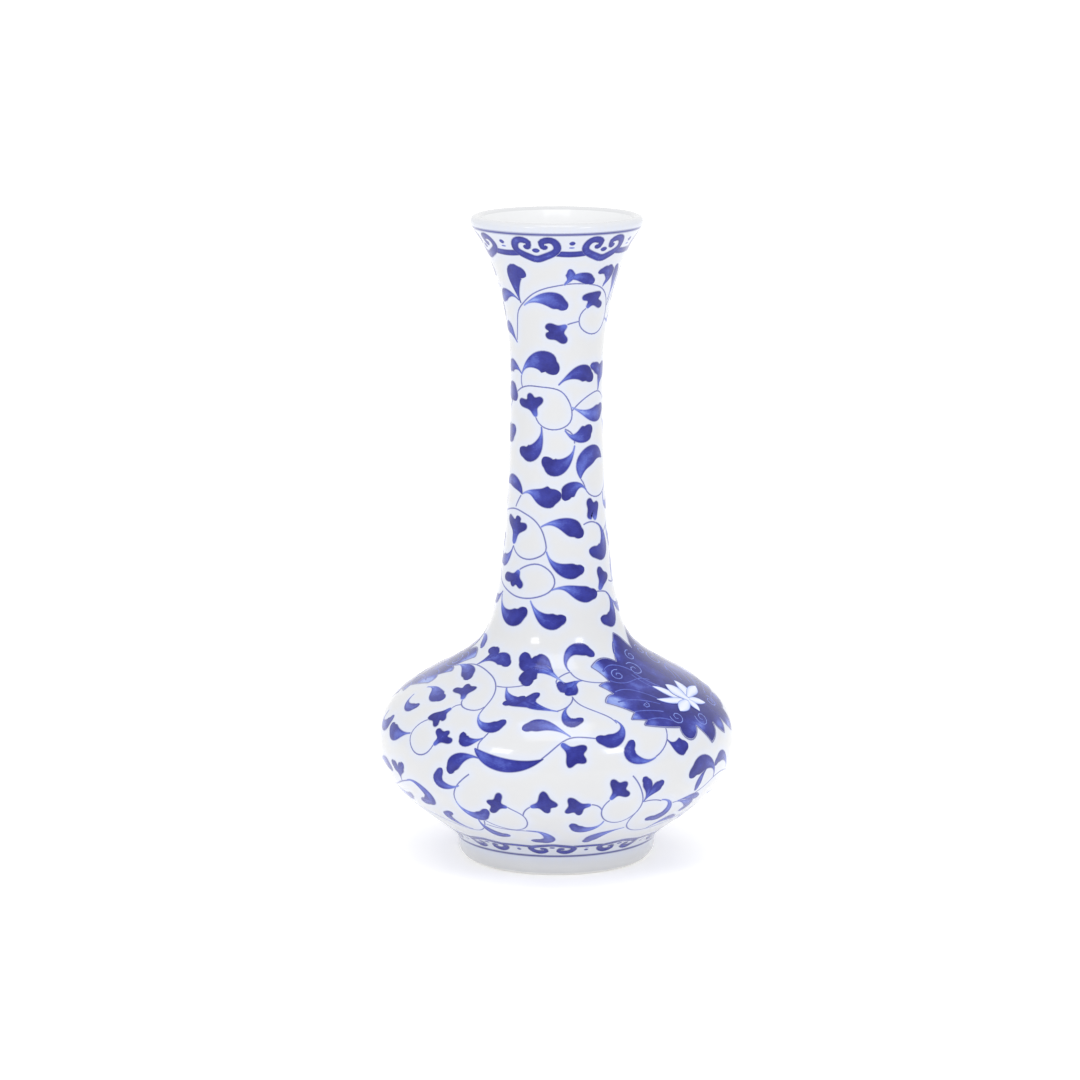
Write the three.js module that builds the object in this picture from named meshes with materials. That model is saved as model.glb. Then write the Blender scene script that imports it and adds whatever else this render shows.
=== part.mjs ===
// A long-necked porcelain bottle vase: thrown sections luted together with slip, then glazed.
// Millimetres, +Z up. The origin is the centre of the ring that the foot stands on.
// Each piece is a solid of revolution, outlined in (radius, height) and turned about +Z.

import * as THREE from 'three';

// Driving dimensions. Diameters and heights are those of the glazed surface.
const height = 185;
const mouthDiameter = 48.8;
const mouthSlope = 54; // of the flare where it meets the lip, in degrees from level
const lipRise = 1.9; // of the rounded lip beyond the end of the flare
const flareHeight = 46.6; // from the narrowest ring of the neck up to the lip's top
const neckDiameter = 26.2; // at its narrowest
const shoulderHeight = 63.9; // where the shoulder turns into the neck
const shoulderDiameter = 42.7;
const shoulderSlope = 54.3;
const bellyHeight = 34.9; // of the widest ring
const bellyDiameter = 103;
const bowlSlope = 37; // of the bowl where it leaves the foot
const footDiameter = 56.7; // of the foot's upright wall
const footSweep = { out: 3.05, top: 9.2 }; // the hollow curve from the foot's wall to the bowl
const footTaper = { inset: 1.1, bottom: 0.9, top: 3.5 }; // of the foot's wall below the upright
const footRingWidth = 5.55; // from the upright wall to the recess
const restInset = { outer: 1.5, inner: 0.8 }; // of the ring it rests on from the foot's two walls
const recessHeight = 4; // of the hollow under the base
const recessFillet = 0.8;
const floorHeight = 8.6; // of the floor inside the bowl
const floorRun = 4.8; // length of the curve between the floor and the wall, on each side
const clayWall = 2.8;
const glazeThickness = 0.3;
const slipThickness = 0.4;

// Fullness: the pull of each curve's two ends, as shares of its rise.
const bowlFullness = [0.35, 0.49];
const shoulderFullness = [0.55, 0.44];
const neckFullness = [0.17, 0.28];
const flareFullness = [0.51, 0.21];

const radialSegments = 32;
const curveSteps = {
  footEdge: 3, sweep: 2, bowl: 5, shoulder: 6, neck: 5, flare: 6, lip: 5, floor: 3, recess: 3,
};

const wall = clayWall + 2 * glazeThickness;
const footRadius = footDiameter / 2;
const recessRadius = footRadius - footRingWidth;
const baseUnderside = recessHeight + glazeThickness; // of the clay, below the glaze
const footSeam = baseUnderside - slipThickness; // top of the foot ring

const up = new THREE.Vector2(0, 1);
const down = new THREE.Vector2(0, -1);
const outwards = new THREE.Vector2(1, 0);
const inwards = new THREE.Vector2(-1, 0);
const at = (radius, level) => new THREE.Vector2(radius, level);

function direction(degrees) {
  const angle = THREE.MathUtils.degToRad(degrees);
  return new THREE.Vector2(Math.cos(angle), Math.sin(angle));
}

// A curve that rises from one point to another, setting off and arriving in the given directions.
function risingCurve(start, setOff, end, arrive, [startFullness, endFullness]) {
  const rise = end.y - start.y;
  const firstHandle = start.clone().addScaledVector(setOff, startFullness * rise);
  const lastHandle = end.clone().addScaledVector(arrive, -endFullness * rise);
  return new THREE.CubicBezierCurve(start, firstHandle, lastHandle, end);
}

// A station is a point of the glazed surface with the direction that points out of the clay there.
function station(curve, t) {
  const tangent = curve.getTangent(t);
  return { point: curve.getPoint(t), normal: at(tangent.y, -tangent.x) };
}

function stationsAlong(curve, steps) {
  return Array.from({ length: steps }, (_, i) => station(curve, (i + 1) / steps));
}

// As above, with one more station a slip joint's thickness before the curve's end.
function stationsToSeam(curve, steps) {
  const endSpeed = 3 * curve.v3.distanceTo(curve.v2);
  const seam = station(curve, 1 - slipThickness / endSpeed);
  const all = stationsAlong(curve, steps);
  return [...all.slice(0, -1), seam, all.at(-1)];
}

const atDepth = (stations, depth) =>
  stations.map(({ point, normal }) => point.clone().addScaledVector(normal, -depth));

const clayFace = (stations) => atDepth(stations, glazeThickness);
const acrossWall = (stations) =>
  stations.map(({ point, normal }) => ({
    point: point.clone().addScaledVector(normal, -wall),
    normal: normal.clone().negate(),
  }));

// The outer surface, from the foot to the lip.
const lipAxes = { across: wall / 2, along: lipRise };
const mouth = direction(mouthSlope);
const lipCentre = at(
  mouthDiameter / 2 - Math.hypot(lipAxes.across * mouth.y, lipAxes.along * mouth.x),
  height - Math.hypot(lipAxes.across * mouth.x, lipAxes.along * mouth.y),
);
const flareEnd = lipCentre.clone().add(at(mouth.y, -mouth.x).multiplyScalar(lipAxes.across));

const sweepStart = at(footRadius, baseUnderside);
const bowlStart = at(footRadius + footSweep.out, footSweep.top);
const sweepRise = footSweep.out * Math.tan(THREE.MathUtils.degToRad(bowlSlope));
const sweepCorner = at(footRadius, footSweep.top - sweepRise);
const belly = at(bellyDiameter / 2, bellyHeight);
const shoulderEnd = at(shoulderDiameter / 2, shoulderHeight);
const neckWaist = at(neckDiameter / 2, height - flareHeight);
const shoulderRun = direction(180 - shoulderSlope);

const sweep = new THREE.QuadraticBezierCurve(sweepStart, sweepCorner, bowlStart);
const bowl = risingCurve(bowlStart, direction(bowlSlope), belly, up, bowlFullness);
const shoulder = risingCurve(belly, up, shoulderEnd, shoulderRun, shoulderFullness);
const neck = risingCurve(shoulderEnd, shoulderRun, neckWaist, up, neckFullness);
const flare = risingCurve(neckWaist, up, flareEnd, mouth, flareFullness);
const lipTurn = THREE.MathUtils.degToRad(mouthSlope - 90);
const lip = new THREE.EllipseCurve(
  lipCentre.x, lipCentre.y, lipAxes.across, lipAxes.along, 0, Math.PI, false, lipTurn,
);

const taper = new THREE.LineCurve(
  at(footRadius - footTaper.inset, footTaper.bottom),
  at(footRadius, footTaper.top),
);
const footStations = [
  station(taper, 0),
  { point: at(footRadius, footTaper.top), normal: outwards },
  { point: at(footRadius, footSeam), normal: outwards },
];
const sweepStations = [{ point: sweepStart, normal: outwards }, ...stationsAlong(sweep, curveSteps.sweep)];
const bowlStations = stationsToSeam(bowl, curveSteps.bowl);
const shoulderStations = stationsToSeam(shoulder, curveSteps.shoulder);
const neckStations = [...stationsAlong(neck, curveSteps.neck), ...stationsAlong(flare, curveSteps.flare)];
const lipStations = stationsAlong(lip, curveSteps.lip);

// The hollow of the bowl: its wall stations start over the foot's sweep, and the floor joins them.
const bowlWall = [sweepStations.at(-1), ...bowlStations.slice(0, -1)];
const floorEdge = acrossWall(bowlWall)[0];
const floorDrop = floorEdge.point.y - floorHeight;
const floorCorner = at(
  floorEdge.point.x - floorDrop / Math.tan(THREE.MathUtils.degToRad(bowlSlope)),
  floorHeight,
);
const floorCurve = new THREE.QuadraticBezierCurve(
  floorEdge.point,
  floorCorner,
  floorCorner.clone().addScaledVector(inwards, floorRun),
);
const floorStations = [
  ...stationsAlong(floorCurve, curveSteps.floor),
  { point: at(0, floorHeight), normal: up },
];

// The underside: the recess's ceiling, a small hollow fillet and the foot ring's inner wall.
const recessCorner = new THREE.EllipseCurve(
  recessRadius - recessFillet, recessHeight - recessFillet, recessFillet, recessFillet, Math.PI / 2, 0, true,
);
const recessArc = [
  { point: at(recessRadius - recessFillet, recessHeight), normal: down },
  ...stationsAlong(recessCorner, curveSteps.recess),
];
const undersideStations = [
  { point: at(0, recessHeight), normal: down },
  ...recessArc,
  { point: at(recessRadius, footTaper.bottom), normal: inwards },
];

// A closed outline between two faces that run the same way.
const between = (first, second) => [...first, ...[...second].reverse()];
const glazeCoat = (stations) => between(atDepth(stations, 0), clayFace(stations));
const lining = (stations) => glazeCoat(stations).reverse();
const wallSlice = (stations) => between(clayFace(stations), clayFace(acrossWall(stations)));

function neckSection() {
  const wallStations = [shoulderStations.at(-1), ...neckStations];
  const outer = clayFace([...wallStations, ...lipStations.slice(0, -1)]);
  return between(outer, clayFace(acrossWall(wallStations)));
}

function shoulderSection() {
  return wallSlice([bowlStations.at(-1), ...shoulderStations.slice(0, -1)]);
}

function bowlSection() {
  const outer = [at(0, baseUnderside), ...clayFace([...sweepStations, ...bowlStations.slice(0, -1)])];
  const inner = clayFace([...floorStations.toReversed(), ...acrossWall(bowlWall)]);
  return between(outer, inner);
}

function footRing() {
  const [outerEdge, ...outerWall] = clayFace(footStations);
  const innerWall = recessRadius + glazeThickness;
  const rest = [at(innerWall + restInset.inner, 0), at(outerEdge.x - restInset.outer, 0)];
  const roundedEdge = new THREE.QuadraticBezierCurve(rest[1], at(outerEdge.x, 0), outerEdge);
  return [
    at(innerWall, footSeam),
    at(innerWall, footTaper.bottom),
    rest[0],
    ...roundedEdge.getPoints(curveSteps.footEdge),
    ...outerWall,
  ];
}

function footSlip() {
  const bead = clayFace(recessArc);
  const innerWall = recessRadius + glazeThickness;
  const outerWall = footRadius - glazeThickness;
  return [...bead, at(innerWall, footSeam), at(outerWall, footSeam), at(outerWall, baseUnderside)];
}

const outerSkin = [
  ...footStations, ...sweepStations, ...bowlStations, ...shoulderStations, ...neckStations, ...lipStations,
];
const innerSkin = [
  ...floorStations.toReversed(),
  ...acrossWall([sweepStations.at(-1), ...bowlStations, ...shoulderStations, ...neckStations]),
];

const vase = new THREE.Group();

function addPiece(name, outline, color, roughness) {
  const onAxis = outline[0].x === 0;
  const closed = onAxis ? outline : [...outline, outline[0]];
  const geometry = new THREE.LatheGeometry(closed, radialSegments).rotateX(Math.PI / 2);
  const material = new THREE.MeshStandardMaterial({ color, roughness, metalness: 0 });
  const piece = new THREE.Mesh(geometry, material);
  piece.name = name;
  vase.add(piece);
}

const clayColor = 0xf0ede6;
const slipColor = 0xe6e1d6;
const glazeColor = 0xe9edf2;
const clayRoughness = 0.55;
const glazeRoughness = 0.12;

addPiece('neck_section', neckSection(), clayColor, clayRoughness);
addPiece('neck_slip_joint', wallSlice(shoulderStations.slice(-2)), slipColor, clayRoughness);
addPiece('shoulder_section', shoulderSection(), clayColor, clayRoughness);
addPiece('belly_slip_joint', wallSlice(bowlStations.slice(-2)), slipColor, clayRoughness);
addPiece('bowl_section', bowlSection(), clayColor, clayRoughness);
addPiece('foot_slip_joint', footSlip(), slipColor, clayRoughness);
addPiece('foot_ring', footRing(), clayColor, clayRoughness);
addPiece('outer_glaze', glazeCoat(outerSkin), glazeColor, glazeRoughness);
addPiece('inner_glaze', lining(innerSkin), glazeColor, glazeRoughness);
addPiece('base_glaze', glazeCoat(undersideStations), glazeColor, glazeRoughness);

export default vase;
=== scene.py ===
import math
from typing import Callable, NamedTuple

import bpy
import numpy as np
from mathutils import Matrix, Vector
from mathutils.kdtree import KDTree


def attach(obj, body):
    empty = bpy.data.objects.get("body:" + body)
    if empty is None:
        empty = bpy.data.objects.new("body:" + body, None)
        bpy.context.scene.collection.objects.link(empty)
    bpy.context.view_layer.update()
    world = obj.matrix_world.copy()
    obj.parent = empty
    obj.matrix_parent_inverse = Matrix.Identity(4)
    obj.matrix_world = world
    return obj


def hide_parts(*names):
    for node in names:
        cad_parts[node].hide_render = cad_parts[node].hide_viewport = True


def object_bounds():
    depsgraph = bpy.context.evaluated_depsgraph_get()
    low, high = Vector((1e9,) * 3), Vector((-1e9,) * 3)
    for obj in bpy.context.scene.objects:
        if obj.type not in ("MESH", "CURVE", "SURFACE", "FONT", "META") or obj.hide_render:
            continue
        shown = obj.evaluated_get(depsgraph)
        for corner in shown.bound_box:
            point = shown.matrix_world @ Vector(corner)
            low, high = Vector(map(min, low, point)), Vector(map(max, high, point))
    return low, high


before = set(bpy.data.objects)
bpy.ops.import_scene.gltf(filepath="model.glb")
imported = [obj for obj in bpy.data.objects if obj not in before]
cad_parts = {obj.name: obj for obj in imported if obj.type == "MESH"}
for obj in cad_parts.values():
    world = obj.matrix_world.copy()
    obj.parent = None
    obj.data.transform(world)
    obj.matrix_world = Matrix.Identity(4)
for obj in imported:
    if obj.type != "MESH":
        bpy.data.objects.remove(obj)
cad_box = [list(corner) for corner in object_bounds()]

# Lengths are in metres, except in the decoration, which is drawn on the glazed wall in degrees of
# azimuth (0 faces -Y, and +X is at 90) and millimetres up the wall from the glaze's lower edge.
MM = 0.001
scene = bpy.context.scene


def smooth(share, start=0, end=1):
    """Eases from start to end as a share goes from 0 to 1, level at both ends."""
    share = np.clip(share, 0, 1)
    return start + (end - start) * share * share * (3 - 2 * share)


def distances(points):
    """How far along their line each of the points lies."""
    return np.concatenate([[0], np.cumsum(np.linalg.norm(np.diff(points, axis=0), axis=1))])


def length(points):
    return distances(points)[-1]


def unit(way):
    return way / np.linalg.norm(way, axis=-1, keepdims=True)


def left_of(way):
    return np.stack([-way[..., 1], way[..., 0]], axis=-1)


def spline(points, shares):
    """Points of a smooth curve through the given ones, at shares of its length."""
    points = np.array(points, float)
    knots = distances(points)
    gaps = np.diff(knots)
    count = len(points)
    system, turns = np.eye(count), np.zeros_like(points)
    if count > 2:
        system[0, 1] = system[-1, -2] = -1  # the bend at each end is the one next to it
    for i in range(1, count - 1):
        system[i, i - 1:i + 2] = gaps[i - 1], 2 * (gaps[i - 1] + gaps[i]), gaps[i]
        after, before = points[i + 1] - points[i], points[i] - points[i - 1]
        turns[i] = 6 * (after / gaps[i] - before / gaps[i - 1])
    bend = np.linalg.solve(system, turns)
    at = np.asarray(shares) * knots[-1]
    k = np.clip(np.searchsorted(knots, at, side="right") - 1, 0, count - 2)
    b = ((at - knots[k]) / gaps[k])[:, None]
    a = 1 - b
    sag = ((a ** 3 - a) * bend[k] + (b ** 3 - b) * bend[k + 1]) * gaps[k][:, None] ** 2 / 6
    return a * points[k] + b * points[k + 1] + sag


# ---- Outlines of the turned pieces

SHARP_TURN = math.radians(40)  # a larger turn of an outline is a real corner
CAD_GRID = 1e-7  # corners of the CAD closer than this are one
ON_AXIS = 1e-6


def node_outline(node):
    """The (radius, height) corners of a turned CAD node in order, and whether it meets its axis."""
    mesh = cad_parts[node].data
    keys = [tuple(np.round(np.array(v.co) / CAD_GRID).astype(int)) for v in mesh.vertices]
    links = {k: set() for k in keys if k[1] == 0 and k[0] >= 0}
    for edge in mesh.edges:
        a, b = (keys[i] for i in edge.vertices)
        if a != b and a in links and b in links:
            links[a].add(b)
            links[b].add(a)
    on_axis = [k for k in links if k[0] == 0]
    path = [min(on_axis or links, key=lambda k: (k[2], k[0]))]
    while onward := sorted(k for k in links[path[-1]] if k not in path):
        path.append(onward[0])
    return np.array([(k[0] * CAD_GRID, k[2] * CAD_GRID) for k in path]), bool(on_axis)


def runs_between_corners(corners, open_ended):
    """The outline cut into smooth runs at its sharp corners; each run starts where the last ended."""
    before = corners - np.roll(corners, 1, axis=0)
    after = np.roll(corners, -1, axis=0) - corners
    turn = np.arctan2((left_of(before) * after).sum(axis=1), (before * after).sum(axis=1))
    sharp = [i for i in range(len(corners)) if abs(turn[i]) > SHARP_TURN]
    if open_ended:
        end = len(corners) - 1
        stops = [0] + [i for i in sharp if 0 < i < end] + [end]
    else:
        corners = np.roll(corners, -sharp[0], axis=0)
        stops = [i - sharp[0] for i in sharp] + [len(corners)]
        corners = np.vstack([corners, corners[:1]])
    return [corners[a:b + 1] for a, b in zip(stops, stops[1:])]


def smooth_outline(node, step):
    """A node's outline as smooth runs of points about a step apart, and whether it meets its axis."""
    corners, open_ended = node_outline(node)
    r, z = corners.T
    if (r * np.roll(z, -1) - np.roll(r, -1) * z).sum() < 0:
        corners = corners[::-1]
    runs = []
    for run in runs_between_corners(corners, open_ended):
        count = max(1, round(length(run) / step)) if len(run) > 2 else 1
        curve = spline(run, np.linspace(0, 1, count + 1))
        curve[:, 0] = np.maximum(curve[:, 0], 0)
        runs.append(curve)
    return runs, open_ended


def finish_mesh(name, points, faces, material):
    mesh = bpy.data.meshes.new(name)
    mesh.from_pydata(points, [], faces)
    mesh.validate()
    mesh.materials.append(material)
    mesh.shade_smooth()
    piece = bpy.data.objects.new(name, mesh)
    scene.collection.objects.link(piece)
    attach(piece, "root")
    return piece


def turned(name, outline, segments, material):
    """A solid of revolution from an outline's runs."""
    runs, open_ended = outline
    profile = np.vstack([run[:-1] for run in runs] + ([runs[-1][-1:]] if open_ended else []))
    azimuth = np.linspace(0, 2 * math.pi, segments, endpoint=False)
    points, first = [], []
    for r, z in profile:
        first.append(len(points))
        ring = azimuth if r > ON_AXIS else azimuth[:1]
        points += [(r * math.sin(a), -r * math.cos(a), z) for a in ring]
    faces = []
    for a in range(len(profile) - open_ended):
        b = (a + 1) % len(profile)
        for j in range(segments):
            k = (j + 1) % segments
            if profile[a][0] < ON_AXIS:
                faces.append((first[a], first[b] + k, first[b] + j))
            elif profile[b][0] < ON_AXIS:
                faces.append((first[a] + j, first[a] + k, first[b]))
            else:
                faces.append((first[a] + j, first[a] + k, first[b] + k, first[b] + j))
    piece = finish_mesh(name, points, faces, material)
    piece.data.set_sharp_from_angle(angle=SHARP_TURN)
    return piece


# ---- Materials

class Look:
    """A material, with short calls for the nodes that feed its shader."""

    def __init__(self, name):
        self.material = bpy.data.materials.new(name)
        self.material.use_nodes = True
        self.tree = self.material.node_tree
        self.shader = self.tree.nodes["Principled BSDF"]

    def feed(self, target, value):
        """Sets a socket to a constant, or links it to another socket."""
        if isinstance(value, bpy.types.NodeSocket):
            self.tree.links.new(value, target)
        else:
            target.default_value = value

    def node(self, kind, inputs):
        node = self.tree.nodes.new(f"ShaderNode{kind}")
        for socket, value in inputs.items():
            self.feed(node.inputs[socket], value)
        return node

    def noise(self, scale, detail, stretch=None):
        """Noise in object space, at a scale per metre."""
        place = self.node("TexCoord", {}).outputs["Object"]
        if stretch:
            mapping = self.node("Mapping", {"Scale": stretch, "Vector": place})
            place = mapping.outputs["Vector"]
        inputs = {"Scale": scale, "Detail": detail, "Vector": place}
        return self.node("TexNoise", inputs).outputs["Fac"]

    def mixed(self, amount, first, second):
        """A colour between two, each a colour or a socket, by an amount or a socket."""
        mix = self.node("Mix", {})
        mix.data_type = "RGBA"
        for i, value in ((0, amount), (6, first), (7, second)):  # a colour mix's own sockets
            self.feed(mix.inputs[i], value)
        return mix.outputs[2]

    def maths(self, operation, *values):
        node = self.node("Math", dict(enumerate(values)))
        node.operation = operation
        return node.outputs[0]

    def attribute(self, name):
        node = self.node("Attribute", {})
        node.attribute_name = name
        return node.outputs["Fac"]

    def band(self, value, low, high):
        """Eases from 0 to 1 as the value goes from low to high."""
        node = self.node("MapRange", {"From Min": low, "From Max": high, "Value": value})
        node.interpolation_type = "SMOOTHSTEP"
        return node.outputs["Result"]

    def bump(self, height, distance):
        node = self.node("Bump", {"Strength": 1, "Distance": distance, "Height": height})
        for socket in ("Normal", "Coat Normal"):
            self.feed(self.shader.inputs[socket], node.outputs["Normal"])


GLAZE_WHITE, GLAZE_SHADE = (0.614, 0.619, 0.63, 1), (0.594, 0.602, 0.618, 1)
# The lining and the underside share a lighter copy of the outer glaze: painted light for the brighter
# inside of the mouth, not a different glaze.
LINING_PAINTED_LIGHT_WHITE, LINING_PAINTED_LIGHT_SHADE = (0.76, 0.765, 0.775, 1), (0.73, 0.737, 0.75, 1)
HALO_BLUE = (0.56, 0.63, 0.84, 1)
RIM_HALO = 0.4  # how far the glaze is tinted right beside the cobalt
PEEL_SHARE = 0.06  # height of the glaze's orange peel, as a share of its ripple's


def glossy_glaze(shader, coat_roughness=0.08):
    shader.inputs["Roughness"].default_value = 0.22
    shader.inputs["IOR"].default_value = 1.5
    shader.inputs["Specular IOR Level"].default_value = 0.12
    shader.inputs["Coat Weight"].default_value = 0.6
    shader.inputs["Coat Roughness"].default_value = coat_roughness
    shader.inputs["Coat IOR"].default_value = 1.5


def glaze_colour(look, white=GLAZE_WHITE, shade=GLAZE_SHADE):
    """White glaze, a little uneven where it ran thicker or thinner."""
    return look.mixed(look.noise(scale=45, detail=4), white, shade)


def glaze_waves(look):
    """The slow ripple of a fired glaze, with a faint orange peel."""
    ripple = look.noise(scale=60, detail=2)
    peel = look.noise(scale=700, detail=2)
    look.bump(look.maths("MULTIPLY_ADD", peel, PEEL_SHARE, ripple), 0.12 * MM)


def clear_glaze(name, coat_roughness, white, shade, tinted=False):
    look = Look(name)
    glossy_glaze(look.shader, coat_roughness)
    colour = glaze_colour(look, white, shade)
    if tinted:
        tint = look.maths("MULTIPLY", look.attribute("halo"), RIM_HALO)
        colour = look.mixed(tint, colour, HALO_BLUE)
    look.feed(look.shader.inputs["Base Color"], colour)
    glaze_waves(look)
    return look.material


COBALT = (  # depth of the wash, and its colour
    (0.00, (0.70, 0.73, 0.80)),
    (0.22, (0.30, 0.40, 0.75)),
    (0.45, (0.082, 0.120, 0.50)),
    (0.70, (0.018, 0.025, 0.27)),
    (1.00, (0.004, 0.005, 0.17)),
)
WASH_PATCHES = 0.68  # how unevenly the wash lies
WASH_STREAKS = 0.32


def cobalt_paint():
    """Cobalt under the glaze: the attribute ink is the depth of the wash, and cover fades its edge."""
    look = Look("cobalt_paint")
    glossy_glaze(look.shader)
    ink = look.attribute("ink")
    patches = look.maths("SUBTRACT", look.noise(scale=420, detail=3), 0.5)
    streaks = look.maths("SUBTRACT", look.noise(scale=1300, detail=2, stretch=(1, 1, 3)), 0.5)
    uneven = look.maths("MULTIPLY", patches, WASH_PATCHES)
    uneven = look.maths("MULTIPLY_ADD", streaks, WASH_STREAKS, uneven)
    ramp = look.node("ValToRGB", {"Fac": look.maths("MULTIPLY_ADD", uneven, ink, ink)})
    stops = ramp.color_ramp.elements
    while len(stops) < len(COBALT):
        stops.new(0.5)
    for stop, (position, colour) in zip(stops, COBALT):
        stop.position = position
        stop.color = (*colour, 1)
    beside = look.mixed(RIM_HALO, glaze_colour(look), HALO_BLUE)
    colour = look.mixed(look.attribute("cover"), beside, ramp.outputs["Color"])
    look.feed(look.shader.inputs["Base Color"], colour)
    glaze_waves(look)
    return look.material


def fired_clay(name, colour, stain, grit):
    """Unglazed porcelain: chalky, with fine grit and faint kiln stains."""
    look = Look(name)
    look.shader.inputs["Roughness"].default_value = 0.62
    look.shader.inputs["Specular IOR Level"].default_value = 0.3
    stains = look.band(look.noise(scale=160, detail=5), 0.52, 0.72)
    look.feed(look.shader.inputs["Base Color"], look.mixed(stains, colour, stain))
    look.bump(look.noise(grit, detail=4), 0.05 * MM)
    return look.material


outer_glaze = clear_glaze("outer_glaze_white", 0.08, GLAZE_WHITE, GLAZE_SHADE, tinted=True)
# Painted light: the lining glaze is the outer glaze painted lighter, for the light inside the mouth.
lining_glaze = clear_glaze("lining_glaze_white_painted_light", 0.03, LINING_PAINTED_LIGHT_WHITE, LINING_PAINTED_LIGHT_SHADE)
cobalt = cobalt_paint()
body_clay = fired_clay("porcelain_clay", (0.77, 0.77, 0.765, 1), (0.70, 0.69, 0.67, 1), 2600)
slip_clay = fired_clay("luting_slip_clay", (0.70, 0.67, 0.60, 1), (0.60, 0.54, 0.46, 1), 1800)


# ---- The turned pieces

GLAZE_STEP = 0.95 * MM  # between the rings of the wall that shows
HIDDEN_STEP = 1.5 * MM
FOOT_STEP = 0.35 * MM
LINING_STEP = 1.6 * MM
BASE_STEP = 0.3 * MM
GLAZE_SEGMENTS = 300
CLAY_SEGMENTS = 160


def replace_node(node, step, material):
    piece = turned(f"{node}_form", smooth_outline(node, step), CLAY_SEGMENTS, material)
    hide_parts(node)


for section in ("neck_section", "shoulder_section", "bowl_section"):
    replace_node(section, HIDDEN_STEP, body_clay)
replace_node("foot_ring", FOOT_STEP, body_clay)
for joint in ("neck_slip_joint", "belly_slip_joint", "foot_slip_joint"):
    replace_node(joint, HIDDEN_STEP, slip_clay)
replace_node("inner_glaze", LINING_STEP, lining_glaze)
replace_node("base_glaze", BASE_STEP, lining_glaze)


def outer_coat():
    """The outer coat, and the run of its outline that shows, from the glaze's lower edge to the lip."""
    fine, open_ended = smooth_outline("outer_glaze", GLAZE_STEP)
    coarse, _ = smooth_outline("outer_glaze", 2 * HIDDEN_STEP)
    two_faces = sorted(range(len(fine)), key=lambda i: length(fine[i]))[-2:]
    shown = max(two_faces, key=lambda i: fine[i][:, 0].max())
    runs = [fine[i] if i == shown else coarse[i] for i in range(len(fine))]
    outline = runs, open_ended
    piece = turned("outer_glaze_coat", outline, GLAZE_SEGMENTS, outer_glaze)
    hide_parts("outer_glaze")
    face = fine[shown]
    return piece, face if face[0, 1] < face[-1, 1] else face[::-1]


coat, wall = outer_coat()
wall_level = distances(wall) / MM
wall_tangent = unit(np.gradient(wall, axis=0))


def on_wall(azimuth, level, lift):
    """Points on the glazed wall, raised by lift (mm), and the directions that face out there."""
    r, z = (np.interp(level, wall_level, wall[:, i]) for i in (0, 1))
    tr, tz = (np.interp(level, wall_level, wall_tangent[:, i]) for i in (0, 1))
    size = np.hypot(tr, tz)
    nr, nz = tz / size, -tr / size
    a = np.radians(azimuth)
    r, z = r + nr * lift * MM, z + nz * lift * MM
    points = np.stack([r * np.sin(a), -r * np.cos(a), z], axis=-1)
    normals = np.stack([nr * np.sin(a), -nr * np.cos(a), nz], axis=-1)
    return points, normals


def degree_at(level):
    """The length in mm of one degree of azimuth round the wall."""
    return np.interp(level, wall_level, wall[:, 0]) / MM * math.pi / 180


# ---- Brush strokes

STROKE_STEP, LEAF_STEP = 1.1, 0.75  # mm between the cross-sections of a line, and of a leaf
BLEED = 0.16  # mm that a stroke's colour spreads past its edge
SOFT_EDGE = 0.22  # mm inside the edge where the colour is full
THIN_CORE = 0.4  # least share of a thin stroke's width where the colour is full
EDGE_LIFT = -0.012  # mm: a stroke is a thin lens of glaze and colour let into the wall
CROWN_LIFT = 0.04
ROOT_DEPTH = -0.06
LAYERS, LAYER_LIFT = 8, 0.002  # neighbouring strokes lie at slightly different heights (mm)
LEAF_BED, FLOWER_BED = 0.012, 0.016  # mm that leaves and flowers lie above the vines
FULLEST = 0.72  # share of a leaf's length where it is widest
KNOB = 0.7  # radius of the round knob at its end, as a share of its width
HOOK = 0.7  # share of its width that its end hangs over
NARROWED = 0.7  # how far before its end the leaf has narrowed away, in knob radii
STEM = 0.22  # half-width of a leaf where it leaves its vine
POINT = 0.08  # half-width of the ends of a pointed stroke
VINE = 0.2
ROOM = 0.85  # how much of the way to the centre of its curve a stroke's inner side may take up
END_GAP, END_SHARE = 0.1, 0.04  # mm from a stroke's end to its last cross-section, and the most
LEAF_START = 0.02  # share of a leaf's length before its first cross-section
ROUND_END = np.sin(np.radians([0, 18, 34, 48, 60, 70, 78]))  # cross-sections of a knob

# Across a stroke: where each column lies between its soft edges, and how its tone changes.
BROAD = ((-1, 0.12), (-0.55, 0.0), (0.0, -0.08), (0.5, -0.02), (1, 0.10))
FINE = ((0, 0),)


class Stroke(NamedTuple):
    points: tuple  # (azimuth, level) along the middle
    halves: Callable  # half-width in mm at shares of the length, for a length in mm
    tones: tuple  # depth of the wash at the start and the end
    bed: float = 0.0  # mm that it lies above the strokes under it
    knob: float = 0.0  # radius in mm of its round end, if it has one
    columns: tuple = BROAD
    ground: float | None = None  # depth of the wash that its edge fades into, if not bare glaze


class Patch(NamedTuple):
    places: np.ndarray  # (azimuth, level) on rays (rows) that spread from the middle to an outline
    middle: tuple
    tone: np.ndarray
    bed: float


def swelling(width, knob):
    """A leaf: it swells from its stem, narrows, and ends in a round knob."""
    def halves(share, size):
        narrowed = 1 - NARROWED * knob / size
        body = STEM + (width - STEM) * smooth(share / FULLEST) ** 1.25
        past = np.clip((share - FULLEST) / (narrowed - FULLEST), 0, 1)
        body = np.where(share < FULLEST, body, width * np.sqrt(1 - past ** 2))
        return np.maximum(body, blunt(knob)(share, size) * (share > 1 - 2 * knob / size))
    return halves


def blunt(radius):
    """An even stroke with a round end."""
    def halves(share, size):
        near_end = share > 1 - 2 * radius / size
        from_centre = np.where(near_end, 1 - (1 - share) * size / radius, 0)
        return radius * np.sqrt(np.clip(1 - from_centre ** 2, 0, 1))
    return halves


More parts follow.
